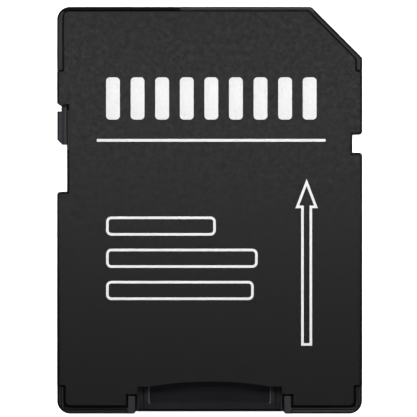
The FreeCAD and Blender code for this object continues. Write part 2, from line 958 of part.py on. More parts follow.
def contact_outline(name):
    # Flat pattern of one contact: its pad, the lead that fans out to it and the root of its finger
    pad = CONTACTS[name]
    finger = finger_centre[name]
    centre = pad_centre[pad]
    half = pad_half(pad)
    lead = size("strip_width") / 2
    fan_rear = stop + size("lead_straight")
    fan_front = pad_rear(pad) - size("lead_neck")
    return [
        (centre - half, pad_rear(pad)),
        (centre - lead, pad_rear(pad)),
        (centre - lead, fan_front),
        (finger - lead, fan_rear),
        (finger - lead, stop),
        (finger + lead, stop),
        (finger + lead, fan_rear),
        (centre + lead, fan_front),
        (centre + lead, pad_rear(pad)),
        (centre + half, pad_rear(pad)),
        (centre + half, pad_front(pad)),
        (centre - half, pad_front(pad)),
    ]


def ground_pieces():
    # Levels and outlines that add the second ground pad and the bridge that carries it
    strip = size("strip_thick")
    low = seat + strip
    high = low + size("bridge_lift")
    first = pad_centre["six"]
    second = pad_centre[SECOND_GROUND_PAD]
    half = size("bridge_width") / 2
    near = pads_rear + size("bridge_from_pad")
    far = near + size("bridge_width")
    reach = pad_half(SECOND_GROUND_PAD)
    pad = rectangle(second - reach, second + reach, pad_rear(SECOND_GROUND_PAD), pads_front)
    return [
        ("first_riser", low, high, rectangle(first - half, first + half, near, far)),
        ("bridge", high, high + strip, rectangle(first - half, second + half, near, far)),
        ("second_riser", low, high, rectangle(second - half, second + half, near, far)),
        ("second_pad", seat, low, pad),
    ]


def make_contact(name):
    body = new_body(name)
    finger = finger_centre[name]
    raise_pad(body, "flat", seat, seat + size("strip_thick"), contact_outline(name))
    if name == "ground_contact":
        for piece, low, high, outline in ground_pieces():
            raise_pad(body, piece, low, high, outline)
    # The finger is a strip swept along its bent path
    path = new_sketch(body, "finger_path", role="YZ_Plane", offset=finger)
    draw_finger_path(path, seat + size("strip_thick") / 2)
    section = new_sketch(body, "finger_section", role="XZ_Plane", offset=-stop)
    half = size("strip_width") / 2
    draw_loop(section, rectangle(finger - half, finger + half, seat, seat + size("strip_thick")))
    sweep = body.newObject("PartDesign::AdditivePipe", "finger")
    sweep.Profile = section
    sweep.Spine = (path, [f"Edge{number}" for number in range(1, path.GeometryCount + 1)])
    return body


def draw_finger_path(sketch, level):
    # Seen along X, with the part's Y to the right and Z up, the finger runs to the left from the stop:
    # flat root, bend, rising spring, rounded apex and turned-down tip, each tangent to the next.
    rise = math.radians(SIZES["finger_rise_angle"])
    fall = math.radians(SIZES["finger_fall_angle"])
    root = size("root_bend")
    apex = size("apex_bend")
    flat_end = stop - size("finger_flat")
    root_level = level + root
    spring_y = flat_end - root * math.sin(rise)
    spring_z = root_level - root * math.cos(rise)
    apex_y = stop - size("finger_apex")
    run_y = apex_y + apex * math.sin(rise)
    run_z = spring_z + (spring_y - run_y) * math.tan(rise)
    apex_z = run_z - apex * math.cos(rise)
    fall_y = apex_y - apex * math.sin(fall)
    fall_z = apex_z + apex * math.cos(fall)
    tip_y = stop - size("finger_reach")
    tip_z = fall_z - (fall_y - tip_y) * math.tan(fall)
    points = [
        (stop, level), (flat_end, level), (spring_y, spring_z),
        (run_y, run_z), (fall_y, fall_z), (tip_y, tip_z),
    ]
    spots = [spot_of(point) for point in points]
    root_middle = spot_of((flat_end, root_level)) - leaning(rise / 2) * root.value
    apex_middle = spot_of((apex_y, apex_z)) + leaning((rise - fall) / 2) * apex.value
    shapes = [
        Part.LineSegment(spots[0], spots[1]),
        Part.Arc(spots[1], root_middle, spots[2]),
        Part.LineSegment(spots[2], spots[3]),
        Part.Arc(spots[3], apex_middle, spots[4]),
        Part.LineSegment(spots[4], spots[5]),
    ]
    radii = [None, root, None, apex, None]
    edges = [sketch.addGeometry(shape, False) for shape in shapes]
    held = []
    for index, edge in enumerate(edges):
        near = end_at(sketch, edge, spots[index])
        held.append((("DistanceX", -1, 1, edge, near, spots[index].x), points[index][0]))
        held.append((("DistanceY", -1, 1, edge, near, spots[index].y), points[index][1]))
        if index > 0:
            far = end_at(sketch, edges[index - 1], spots[index])
            held.append((("Coincident", edges[index - 1], far, edge, near), None))
        if radii[index] is not None:
            held.append((("Radius", edge, radii[index].value), radii[index]))
    held.append((("DistanceX", -1, 1, edges[-1], 2, spots[-1].x), points[-1][0]))
    held.append((("DistanceY", -1, 1, edges[-1], 2, spots[-1].y), points[-1][1]))
    hold(sketch, held)


def leaning(angle):
    # Unit vector in the path's plane that leans from the upright towards the contact end
    return FreeCAD.Vector(math.sin(angle), math.cos(angle), 0)


def make_carrier():
    body = new_body("contact_carrier")
    raise_pad(body, "plate", seat, deck, carrier_outline(0.0))
    strips = [contact_outline(name) for name in CONTACTS]
    bridge = ground_pieces()
    second_pad = bridge[-1][-1]
    cut_pocket(body, "strip_channels", seat, seat + size("strip_thick"), *strips, second_pad)
    for piece, low, high, outline in bridge[:-1]:
        cut_pocket(body, f"{piece}_channel", low, high, outline)
    return body


def make_lock_slider():
    body = new_body("lock_slider")
    gap = size("lock_gap")
    outside = side - size("tab_inset")
    inside = lock_side + gap
    step_side = outside - size("tab_step")
    ahead = lock_front - gap
    behind = ahead - size("tab_length")
    tab = [
        (-outside, ahead - size("tab_step")),
        (-step_side, ahead - size("tab_step")),
        (-step_side, ahead),
        (-inside, ahead),
        (-inside, behind),
        (-outside + size("tab_chamfer"), behind),
        (-outside, behind + size("tab_chamfer")),
    ]
    tab_top = top - size("tab_inset")
    raise_pad(body, "tab", seat + size("tab_inset"), tab_top, tab)
    doc.recompute()
    chamfer_side = -outside.value + SIZES["tab_chamfer"]
    rounded = level_edges(body.Tip.Shape, tab_top, lambda spot: spot.x < chamfer_side)
    dress_edges(body, "Fillet", "tab_edge", rounded, size("tab_fillet"))
    # Grip groove along the tab, drawn across it as a V that is open at the top
    grip = -outside + size("grip_inset")
    half = size("grip_width") / 2
    groove = [
        (grip - half, tab_top + PAST),
        (grip - half, tab_top),
        (grip, tab_top - size("grip_depth")),
        (grip + half, tab_top),
        (grip + half, tab_top + PAST),
    ]
    sketch = new_sketch(body, "grip_outline", role="XZ_Plane", offset=-(ahead + behind) / 2)
    draw_loop(sketch, groove)
    feature = body.newObject("PartDesign::Pocket", "grip_groove")
    feature.Profile = sketch
    feature.Midplane = True
    bind(feature, "Length", 2 * size("tab_length"))
    # Lip that closes the gap at the front end of the window when the slider is home
    lip = rectangle(-step_side, -inside, ahead, ahead + size("lip_reach"))
    raise_pad(body, "front_lip", seat + size("tab_inset"), seat + size("lip_height"), lip)
    # Neck over the sill, then the foot that hooks down behind it, with its detent bump
    foot_outside = lock_side - size("sill_width") - gap
    foot_inside = foot_outside - size("foot_width")
    foot_rear = foot_front - size("foot_length")
    neck = rectangle(-inside, -foot_outside, foot_rear, foot_front)
    raise_pad(body, "neck", seat + size("sill_height") + gap, deck - gap, neck)
    bump = size("bump_length")
    foot = [
        (-foot_outside, foot_rear),
        (-foot_inside, foot_rear),
        (-foot_inside, bump_rest - bump),
        (-foot_inside + size("bump_height"), bump_rest - bump / 2),
        (-foot_inside + size("bump_height"), bump_rest + bump / 2),
        (-foot_inside, bump_rest + bump),
        (-foot_inside, foot_front),
        (-foot_outside, foot_front),
    ]
    raise_pad(body, "foot", seat + gap, deck - gap, foot)
    return body


def check_bodies():
    for item in doc.Objects:
        if "Invalid" in item.State or "Error" in item.State:
            raise RuntimeError(f"{item.Label} failed: {item.State}")
    for body in bodies:
        shape = body.Shape
        if shape.isNull() or not shape.isValid() or len(shape.Solids) != 1:
            raise RuntimeError(f"{body.Label} isn't one valid solid")
        for feature in body.Group:
            grows = feature.TypeId in ("PartDesign::Pad", "PartDesign::AdditivePipe")
            if feature.TypeId != "PartDesign::Pocket" and not grows:
                continue
            before = feature.BaseFeature.Shape.Volume if feature.BaseFeature else 0.0
            if (feature.Shape.Volume > before) != grows:
                raise RuntimeError(f"{feature.Label} of {body.Label} changes nothing")


bodies = [make_upper_shell(), make_lower_shell(), make_carrier(), make_lock_slider()]
bodies += [make_contact(name) for name in CONTACTS]
doc.recompute()
check_bodies()

os.makedirs("parts", exist_ok=True)
for body in bodies:
    body.Shape.exportStep(f"parts/{body.Label}.step")
    box = body.Shape.BoundBox
    extent = f"{box.XLength:.2f} x {box.YLength:.2f} x {box.ZLength:.2f} mm"
    print(f"{body.Label}: {body.Shape.Volume:.3f} cubic mm, {extent}")
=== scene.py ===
import math

import bpy
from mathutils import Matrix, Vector


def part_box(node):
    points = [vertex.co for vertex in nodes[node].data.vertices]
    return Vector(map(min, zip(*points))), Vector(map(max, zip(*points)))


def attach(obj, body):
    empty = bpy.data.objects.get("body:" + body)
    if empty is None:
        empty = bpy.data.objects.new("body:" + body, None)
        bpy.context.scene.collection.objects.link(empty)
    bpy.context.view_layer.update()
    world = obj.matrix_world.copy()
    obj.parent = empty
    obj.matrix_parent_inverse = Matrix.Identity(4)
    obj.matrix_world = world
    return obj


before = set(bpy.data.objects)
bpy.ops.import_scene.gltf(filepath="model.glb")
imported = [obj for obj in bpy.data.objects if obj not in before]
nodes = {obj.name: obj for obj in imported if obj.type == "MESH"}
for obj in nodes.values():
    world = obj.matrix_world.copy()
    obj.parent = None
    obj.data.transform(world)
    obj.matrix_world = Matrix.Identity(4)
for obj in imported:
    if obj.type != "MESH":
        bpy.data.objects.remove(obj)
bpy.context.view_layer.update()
mm = 0.001  # the scene is in metres, the values below are in millimetres

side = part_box("lower_shell")[1].x / mm  # half the card's width
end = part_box("lower_shell")[1].y / mm  # half its length
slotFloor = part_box("contact_carrier")[0].z / mm  # the carrier rests at the level of the slot's floor
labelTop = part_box("upper_shell")[1].z / mm  # level of the label face
print("stage 1: frame loaded,", len(nodes), "nodes")


# Small helpers for node trees

def feed(tree, socket, term):
    # gives an input its number or colour, or links it to another node's output
    if isinstance(term, bpy.types.NodeSocket):
        tree.links.new(term, socket)
    else:
        socket.default_value = term


def asColour(value):
    # a grey or three parts as a colour, while another node's output stays as it is
    if isinstance(value, float):
        return (value, value, value, 1.0)
    if isinstance(value, tuple):
        return (*value, 1.0)
    return value


def addNode(tree, kind, settings=(), **values):
    # one node, with its own settings first and then the values of its inputs by name
    node = tree.nodes.new("ShaderNode" + kind)
    for key, value in dict(settings).items():
        setattr(node, key, value)
    for key, value in values.items():
        feed(tree, node.inputs[key], value)
    return node


def mathNode(tree, operation, first, second=0.0, clamp=False):
    # sum, product and so on of two outputs or numbers
    node = addNode(tree, "Math", {"operation": operation, "use_clamp": clamp})
    feed(tree, node.inputs[0], first)
    feed(tree, node.inputs[1], second)
    return node.outputs[0]


def mixColour(tree, mask, first, second):
    # the first colour where the mask is nought and the second where it is one
    node = addNode(tree, "Mix", {"data_type": "RGBA"})
    maskInput, firstInput, secondInput = node.inputs[0], node.inputs[6], node.inputs[7]
    feed(tree, maskInput, mask)
    feed(tree, firstInput, asColour(first))
    feed(tree, secondInput, asColour(second))
    return node.outputs[2]


def noiseNode(tree, position, scale, detail, roughness=0.5):
    noise = addNode(tree, "TexNoise", Vector=position, Scale=scale, Detail=detail, Roughness=roughness)
    return noise.outputs["Fac"]


def fadeNode(tree, value, low, high):
    # rises smoothly from nought at the low value to one at the high value
    fade = addNode(tree, "MapRange", {"interpolation_type": "SMOOTHSTEP"}, Value=value)
    fade.inputs["From Min"].default_value = low
    fade.inputs["From Max"].default_value = high
    return fade.outputs["Result"]


# Shader groups

def newGroup(name, sizes, outputs):
    # node group that takes the position and its sizes by name, and gives numbers by name
    group = bpy.data.node_groups.new(name, "ShaderNodeTree")
    group.interface.new_socket("Position", in_out="INPUT", socket_type="NodeSocketVector")
    for socketName in sizes:
        group.interface.new_socket(socketName, in_out="INPUT", socket_type="NodeSocketFloat")
    for socketName in outputs:
        group.interface.new_socket(socketName, in_out="OUTPUT", socket_type="NodeSocketFloat")
    given = group.nodes.new("NodeGroupInput")
    made = group.nodes.new("NodeGroupOutput")
    return group, given.outputs, made.inputs


def perMetre(tree, length):
    # how many times a length in millimetres goes into a metre
    return mathNode(tree, "DIVIDE", 1 / mm, length)


grainShape = {
    "detail": 3.0, "roughness": 0.62, "pitScale": 0.55, "pitDepth": 0.5,
    "blotchDetail": 2.0, "blotchRoughness": 0.5,
}


def makeGrainGroup():
    # mould texture: fine spark grain and its pits over broad soft blotches
    shape = grainShape
    group, given, made = newGroup("mouldGrain", ["Grain Size", "Blotch Size"], ["Grain", "Pits", "Blotch"])
    position = given["Position"]
    fineScale = perMetre(group, given["Grain Size"])
    feed(group, made["Grain"], noiseNode(group, position, fineScale, shape["detail"], shape["roughness"]))
    pits = addNode(group, "TexVoronoi", {"feature": "SMOOTH_F1"}, Vector=position, Randomness=1.0)
    feed(group, pits.inputs["Scale"], mathNode(group, "MULTIPLY", fineScale, shape["pitScale"]))
    feed(group, made["Pits"], pits.outputs["Distance"])
    broadScale = perMetre(group, given["Blotch Size"])
    blotch = noiseNode(group, position, broadScale, shape["blotchDetail"], shape["blotchRoughness"])
    feed(group, made["Blotch"], blotch)
    return group


edgeShape = {
    "samples": 6, "sharpness": 6.0,
    "patchSize": 0.8, "patchDetail": 4.0, "patchRoughness": 0.6, "patchFrom": 0.5, "patchTo": 0.68,
}


def makeEdgeGroup():
    # mask of the outer edges, from how far a rounded normal leans from the real one; the plastics paint
    # shade along their edges with it, and wear with its patched part
    shape = edgeShape
    group, given, made = newGroup("edgeShadeAndWear", ["Width"], ["Edge", "Worn Edge"])
    rounded = addNode(group, "Bevel", {"samples": shape["samples"]}, Radius=given["Width"])
    real = addNode(group, "NewGeometry")
    likeness = addNode(group, "VectorMath", {"operation": "DOT_PRODUCT"})
    feed(group, likeness.inputs[0], rounded.outputs["Normal"])
    feed(group, likeness.inputs[1], real.outputs["Normal"])
    lean = mathNode(group, "SUBTRACT", 1.0, likeness.outputs["Value"])
    edge = mathNode(group, "MULTIPLY", lean, shape["sharpness"], clamp=True)
    feed(group, made["Edge"], edge)
    patchScale = perMetre(group, shape["patchSize"])
    patches = noiseNode(group, given["Position"], patchScale, shape["patchDetail"], shape["patchRoughness"])
    worn = fadeNode(group, patches, shape["patchFrom"], shape["patchTo"])
    feed(group, made["Worn Edge"], mathNode(group, "MULTIPLY", edge, worn))
    return group


wipeShape = {"detail": 3.0, "roughness": 0.7}


def makeWipeGroup():
    # fine lines along the insertion direction, as mating contacts leave them
    group, given, made = newGroup("wipeLines", ["Line Width", "Line Length"], ["Lines"])
    across = perMetre(group, given["Line Width"])
    along = perMetre(group, given["Line Length"])
    scale = addNode(group, "CombineXYZ", X=across, Y=along, Z=across)
    stretched = addNode(group, "VectorMath", {"operation": "MULTIPLY"})
    feed(group, stretched.inputs[0], given["Position"])
    feed(group, stretched.inputs[1], scale.outputs["Vector"])
    lines = noiseNode(group, stretched.outputs["Vector"], 1.0, wipeShape["detail"], wipeShape["roughness"])
    feed(group, made["Lines"], lines)
    return group


grainGroup = makeGrainGroup()
edgeGroup = makeEdgeGroup()
wipeGroup = makeWipeGroup()
print("stage 2: shader groups built")


# Moulded plastics

plastics = {
    # colours are greys, or red, green and blue, and the sizes are in millimetres
    # edgeColour is painted shade along the outer edges, and the ridge, slope and side colours paint light
    # and shade by which way the surface faces
    "labelPlastic": {
        "colour": 0.0032, "blotchColour": 0.0022, "wearColour": 0.009, "edgeColour": 0.001,
        "roughness": 0.45, "roughnessSpread": 0.3, "edgeRoughness": 0.3, "specular": 0.1,
        "grainSize": 0.2, "grainDepth": 0.006, "blotchSize": 0.42, "edgeWidth": 0.2,
        "ridgeColour": 0.0003, "ridgeGloss": -0.2,
        "slopeColour": 0.0002, "slopeGloss": 0.3,
        "sideColour": 0.013, "sideGloss": 0.0,
    },
    "trayPlastic": {
        "colour": (0.0042, 0.0042, 0.0048), "blotchColour": (0.0030, 0.0030, 0.0036),
        "wearColour": (0.014, 0.014, 0.015), "edgeColour": (0.003, 0.003, 0.0034),
        "roughness": 0.46, "roughnessSpread": 0.14, "edgeRoughness": 0.2, "specular": 0.12,
        "grainSize": 0.12, "grainDepth": 0.003, "blotchSize": 3.0, "edgeWidth": 0.1,
        "ridgeColour": (0.006, 0.006, 0.0065), "ridgeGloss": 0.0,
        "slopeColour": 0.0003, "slopeGloss": 0.3,
        "sideColour": (0.014, 0.014, 0.015), "sideGloss": 0.0,
    },
    "lockPlastic": {
        "colour": (0.0066, 0.0067, 0.0080), "blotchColour": (0.0054, 0.0055, 0.0068),
        "wearColour": (0.012, 0.012, 0.015), "edgeColour": (0.002, 0.002, 0.003),
        "roughness": 0.44, "roughnessSpread": 0.12, "edgeRoughness": 0.0, "specular": 0.12,
        "grainSize": 0.09, "grainDepth": 0.0015, "blotchSize": 1.2, "edgeWidth": 0.08,
        "ridgeColour": (0.008, 0.008, 0.009), "ridgeGloss": 0.0,
        "slopeColour": (0.024, 0.024, 0.028), "slopeGloss": 0.0,
        "sideColour": (0.02, 0.02, 0.023), "sideGloss": 0.0,
    },
    "carrierPlastic": {
        "colour": (0.008, 0.0082, 0.009), "blotchColour": (0.0055, 0.0057, 0.0063),
        "wearColour": 0.02, "edgeColour": (0.007, 0.007, 0.0075),
        "roughness": 0.48, "roughnessSpread": 0.14, "edgeRoughness": 0.0, "specular": 0.35,
        "grainSize": 0.07, "grainDepth": 0.0015, "blotchSize": 0.9, "edgeWidth": 0.05,
        "ridgeColour": (0.01, 0.01, 0.011), "ridgeGloss": 0.0,
        "slopeColour": (0.006, 0.006, 0.007), "slopeGloss": 0.0,
        "sideColour": (0.014, 0.014, 0.015), "sideGloss": 0.0,
    },
}

# how far up a surface faces: 1 is level and on top, 0 is upright, -1 is level and underneath
faceLevels = {
    "upper": (0.1, 1.01), "flat": (0.995, 1.01), "ridge": (0.9, 0.995),
    "slope": (0.1, 0.9), "side": (-1.01, 0.1),
}

past = 0.1  # how far a place at the outline runs past it

# places with a finish of their own, in millimetres: x is signed, across is the distance from the middle,
# and the others are measured from the card's sides, its two ends and the floor of the slot
places = {
    "labelFront": {"fromSide": (0.3, side + past), "fromFront": (0.1, 4.0)},
    "besideTab": {"x": (0.7 - side, 1.1 - side), "fromFront": (8.1, 11.25)},
    "longRidges": {"fromSide": (-past, 0.2), "fromRear": (2.1, 17.0)},
    "longFlats": {"fromSide": (0.17, 0.27), "fromRear": (2.1, 17.0)},
    "tabEdge": {"fromSide": (-past, 0.16)},
    "cutCorner": {"x": (side - 4.5, side + past), "fromFront": (-past, 5.0)},
    "frontLeft": {"x": (-side - past, -2.3), "fromFront": (-past, 0.4)},
    "frontRight": {"x": (-2.3, 8.3), "fromFront": (-past, 0.4)},
    "rearRims": {"fromSide": (-past, 5.5), "fromRear": (-past, 2.1)},
    "innerLineLeft": {"x": (0.5 - side, 5.5 - side), "fromRear": (0.37, 0.5)},
    "outerLineLeft": {"x": (0.3 - side, 5.5 - side), "fromRear": (0.15, 0.3)},
    "innerLineRight": {"x": (side - 5.5, side - 0.5), "fromRear": (0.37, 0.5)},
    "outerLineRight": {"x": (side - 5.5, side - 0.3), "fromRear": (0.15, 0.3)},
    "innerLineSides": {"fromSide": (0.37, 0.5), "fromRear": (0.3, 2.1)},
    "outerLineSides": {"fromSide": (0.15, 0.3), "fromRear": (0.15, 2.1)},
    "recess": {"across": (0.0, 4.7), "fromFloor": (-0.34, 0.06)},
    "slot": {"across": (0.0, 5.8), "fromFloor": (-0.34, 0.06)},
    "rails": {"across": (4.7, 5.8), "fromFloor": (-0.34, 0.06)},
    "railTops": {"across": (4.7, 5.8), "fromFloor": (-0.04, 0.06)},
    "tongueLip": {"across": (0.0, 5.8), "fromRear": (0.23, 0.9), "fromFloor": (-0.04, 0.06)},
    "underArch": {"across": (0.0, 5.8), "fromRear": (1.9, 3.0), "fromFloor": (-0.34, 0.06)},
    "tongueEnd": {"across": (0.0, 5.8), "fromRear": (0.2, 0.32), "fromFloor": (-0.34, 0.06)},
    "jambTops": {"across": (5.8, 6.5), "fromRear": (-past, 1.5), "fromFloor": (0.3, 1.5)},
}

# what is laid over each plastic, one after the other: place, part of its surface, colour and gloss; the
# colours are painted light and shade
zones = {
    "labelPlastic": [
        # painted highlights on the front edge and beside the tab, painted shade along the long sides
        ("labelFront", "ridge", 0.008, 0.0),
        ("labelFront", "slope", 0.006, 0.0),
        ("besideTab", "ridge", 0.006, 0.0),
        ("besideTab", "slope", 0.024, 0.0),
        ("longRidges", "ridge", 0.0002, 0.4),
        ("longFlats", "flat", 0.0012, 0.08),
    ],
    "trayPlastic": [
        # cut corner with painted shade on its ridge, then the front edge: painted shade on the left, a
        # painted highlight on the right
        ("cutCorner", "ridge", 0.0004, -0.2),
        ("frontLeft", "upper", 0.0002, -0.4),
        ("frontRight", "ridge", (0.04, 0.04, 0.042), 0.0),
        # rear rims: painted shade, with lines of painted highlight, brighter on the right
        ("rearRims", "flat", (0.0004, 0.0004, 0.0005), 0.32),
        ("rearRims", "ridge", 0.0004, -0.35),
        ("innerLineLeft", "flat", (0.006, 0.006, 0.0065), 0.2),
        ("outerLineLeft", "flat", (0.014, 0.014, 0.0145), 0.2),
        ("innerLineRight", "flat", (0.018, 0.018, 0.019), 0.2),
        ("outerLineRight", "flat", (0.036, 0.036, 0.037), 0.2),
        ("innerLineSides", "flat", (0.016, 0.016, 0.017), 0.2),
        ("outerLineSides", "flat", (0.014, 0.014, 0.015), 0.2),
        # slot: painted light on the ramp and painted highlights on the rail edges, a polished floor painted
        # darker as shade with a painted dark line near its end, painted light on the rail tops, the lip,
        # under the arch and on the jamb tops
        ("recess", "slope", (0.010, 0.010, 0.012), 0.0),
        ("slot", "ridge", (0.006, 0.006, 0.008), 0.0),
        ("rails", "slope", (0.055, 0.055, 0.058), 0.0),
        ("slot", "flat", (0.0018, 0.0018, 0.0032), 0.12),
        ("railTops", "flat", (0.0085, 0.0085, 0.010), 0.0),
        ("tongueLip", "flat", (0.0042, 0.0042, 0.0052), 0.0),
        ("underArch", "flat", (0.0052, 0.0052, 0.0084), 0.0),
        ("tongueEnd", "flat", (0.0002, 0.0002, 0.0003), 0.3),
        ("jambTops", "flat", (0.0125, 0.0125, 0.0145), 0.0),
    ],
    "lockPlastic": [
        # painted shade on the outer edge of the tab
        ("tabEdge", "ridge", (0.0003, 0.0003, 0.0004), -0.4),
        ("tabEdge", "slope", (0.0003, 0.0003, 0.0004), -0.4),
    ],
    "carrierPlastic": [],
}


def newMaterial(name):
    # material with its shader and the object's own position, in metres
    material = bpy.data.materials.new(name)
    material.use_nodes = True
    tree = material.node_tree
    return material, tree, tree.nodes["Principled BSDF"], addNode(tree, "TexCoord").outputs["Object"]


def placeGroup(tree, group, position, values):
    # a shader group in a material, with the values of its inputs by name
    node = tree.nodes.new("ShaderNodeGroup")
    node.node_tree = group
    tree.links.new(position, node.inputs["Position"])
    for key, value in values.items():
        node.inputs[key].default_value = value
    return node.outputs


def placeGrain(tree, position, look):
    sizes = {"Grain Size": look["grainSize"], "Blotch Size": look["blotchSize"]}
    return placeGroup(tree, grainGroup, position, sizes)


def placeEdge(tree, position, look):
    return placeGroup(tree, edgeGroup, position, {"Width": look["edgeWidth"] * mm})


def bandMask(tree, value, low, high):
    # one where a value lies between two limits
    band = addNode(tree, "Math", {"operation": "COMPARE"})
    middle, reach = (low + high) / 2, (high - low) / 2
    for socket, term in zip(band.inputs, (value, middle, reach)):
        feed(tree, socket, term)
    return band.outputs[0]


def levelMask(tree, part):
    # one where the surface lies flat on top, leans as a ridge or a slope does, or is a side or underneath
    normal = addNode(tree, "NewGeometry").outputs["True Normal"]
    turned = addNode(tree, "SeparateXYZ", Vector=normal)
    return bandMask(tree, turned.outputs["Z"], *faceLevels[part])


def layOver(tree, mask, colour, rough, newColour, gloss):
    # another colour where the mask is one, and more gloss, which is less roughness
    colour = mixColour(tree, mask, colour, newColour)
    rough = mathNode(tree, "SUBTRACT", rough, mathNode(tree, "MULTIPLY", mask, gloss))
    return colour, rough


def dressEdges(tree, look, colour, rough):
    # painted light and shade by facing: the rounded edges, with a ridge where they start and the slope
    # below it, and the sides painted paler as if lit
    for part in ("ridge", "slope", "side"):
        mask = levelMask(tree, part)
        colour, rough = layOver(tree, mask, colour, rough, look[part + "Colour"], look[part + "Gloss"])
    return colour, rough


def dressZones(tree, position, rows, colour, rough):
    # lays each zone over what is there
    parts = addNode(tree, "SeparateXYZ", Vector=position)
    across = mathNode(tree, "ABSOLUTE", parts.outputs["X"])
    ways = {
        "x": parts.outputs["X"],
        "across": across,
        "fromSide": mathNode(tree, "SUBTRACT", side * mm, across),
        "fromFront": mathNode(tree, "SUBTRACT", end * mm, parts.outputs["Y"]),
        "fromRear": mathNode(tree, "ADD", parts.outputs["Y"], end * mm),
        "fromFloor": mathNode(tree, "SUBTRACT", parts.outputs["Z"], slotFloor * mm),
    }
    for place, part, newColour, gloss in rows:
        mask = levelMask(tree, part)
        for way, (low, high) in places[place].items():
            mask = mathNode(tree, "MULTIPLY", mask, bandMask(tree, ways[way], low * mm, high * mm))
        colour, rough = layOver(tree, mask, colour, rough, newColour, gloss)
    return colour, rough


def addBump(tree, shader, height, depth):
    # relief of the given depth in millimetres
    bump = addNode(tree, "Bump", Strength=1.0, Distance=depth * mm, Height=height)
    tree.links.new(bump.outputs["Normal"], shader.inputs["Normal"])


def makePlastic(name):
    # moulded plastic: mould grain, uneven gloss, dulled edges with painted shade and patches of wear,
    # painted light and shade by facing, and its zones of painted highlights and shade
    look = plastics[name]
    material, tree, shader, position = newMaterial(name)
    grain = placeGrain(tree, position, look)
    edge = placeEdge(tree, position, look)
    colour = mixColour(tree, grain["Blotch"], look["colour"], look["blotchColour"])
    # painted shade: the outer edges darker
    colour = mixColour(tree, edge["Edge"], colour, look["edgeColour"])
    colour = mixColour(tree, edge["Worn Edge"], colour, look["wearColour"])
    spread = mathNode(tree, "MULTIPLY", grain["Grain"], look["roughnessSpread"])
    blotch = mathNode(tree, "MULTIPLY", grain["Blotch"], look["roughnessSpread"])
    edgeDull = mathNode(tree, "MULTIPLY", edge["Edge"], look["edgeRoughness"])
    rough = mathNode(tree, "ADD", mathNode(tree, "ADD", spread, blotch), edgeDull)
    colour, rough = dressEdges(tree, look, colour, rough)
    colour, rough = dressZones(tree, position, zones[name], colour, rough)
    feed(tree, shader.inputs["Base Color"], colour)
    smoothest = look["roughness"] - look["roughnessSpread"]
    feed(tree, shader.inputs["Roughness"], mathNode(tree, "ADD", rough, smoothest, clamp=True))
    shader.inputs["Specular IOR Level"].default_value = look["specular"]
    pits = mathNode(tree, "MULTIPLY", grain["Pits"], grainShape["pitDepth"])
    addBump(tree, shader, mathNode(tree, "ADD", grain["Grain"], pits), look["grainDepth"])
    return material


# Gold and ink

goldLook = {
    "colour": (0.86, 0.58, 0.24), "paleColour": (0.93, 0.72, 0.4), "edgeColour": (0.7, 0.43, 0.17),
    "roughness": 0.2, "lineRoughness": 0.22, "blotchSize": 0.8, "edgeWidth": 0.04,
    "lineWidth": 0.035, "lineLength": 2.5, "lineDepth": 0.0012,
}


def makeGold():
    # gold flash over stamped copper alloy, wiped along the insertion direction
    look = goldLook
    material, tree, shader, position = newMaterial("goldPlate")
    lineSizes = {"Line Width": look["lineWidth"], "Line Length": look["lineLength"]}
    wipe = placeGroup(tree, wipeGroup, position, lineSizes)
    uneven = placeGroup(tree, grainGroup, position, {"Blotch Size": look["blotchSize"]})
    edge = placeEdge(tree, position, look)
    plate = mixColour(tree, uneven["Blotch"], look["colour"], look["paleColour"])
    plate = mixColour(tree, edge["Edge"], plate, look["edgeColour"])
    feed(tree, shader.inputs["Base Color"], plate)
    shader.inputs["Metallic"].default_value = 1.0
    rough = mathNode(tree, "MULTIPLY", wipe["Lines"], look["lineRoughness"])
    feed(tree, shader.inputs["Roughness"], mathNode(tree, "ADD", rough, look["roughness"]))
    addBump(tree, shader, wipe["Lines"], look["lineDepth"])
    return material


inkLook = {
    "colour": 0.43, "thinColour": 0.33, "thinFrom": 0.52, "thinTo": 0.8,
    "roughness": 0.42, "roughnessSpread": 0.2, "grainSize": 0.12, "blotchSize": 1.6, "depth": 0.0015,
}


def makeInk():
    # pad printed white ink, a little thinner in places, over the grain of the plastic
    look = inkLook
    material, tree, shader, position = newMaterial("whiteInk")
    grain = placeGrain(tree, position, look)
    thin = fadeNode(tree, grain["Grain"], look["thinFrom"], look["thinTo"])
    feed(tree, shader.inputs["Base Color"], mixColour(tree, thin, look["colour"], look["thinColour"]))
    rough = mathNode(tree, "MULTIPLY", grain["Blotch"], look["roughnessSpread"])
    feed(tree, shader.inputs["Roughness"], mathNode(tree, "ADD", rough, look["roughness"]))
    addBump(tree, shader, grain["Grain"], look["depth"])
    return material


labelPlastic = makePlastic("labelPlastic")
trayPlastic = makePlastic("trayPlastic")
lockPlastic = makePlastic("lockPlastic")
carrierPlastic = makePlastic("carrierPlastic")
goldPlate = makeGold()
whiteInk = makeInk()


def paint(name, material):
    # a node's own mesh stays as it is, only its slots change
    slots = nodes[name].material_slots
    if not slots:
        nodes[name].data.materials.append(material)
    for slot in slots:
        slot.material = material


paint("upper_shell", labelPlastic)
paint("lower_shell", trayPlastic)
paint("lock_slider", lockPlastic)
paint("contact_carrier", carrierPlastic)
for name in nodes:
    if name.endswith("_contact"):
        paint(name, goldPlate)
print("stage 3: materials on every node")


# Tools for thin raised pieces

softEdge = {"segments": 2, "fromAngle": 60, "smoothAngle": 35}
partModes = {"vertices": "VERT", "edges": "EDGE", "polygons": "FACE"}
near = 0.01  # a point this close to a place lies at it


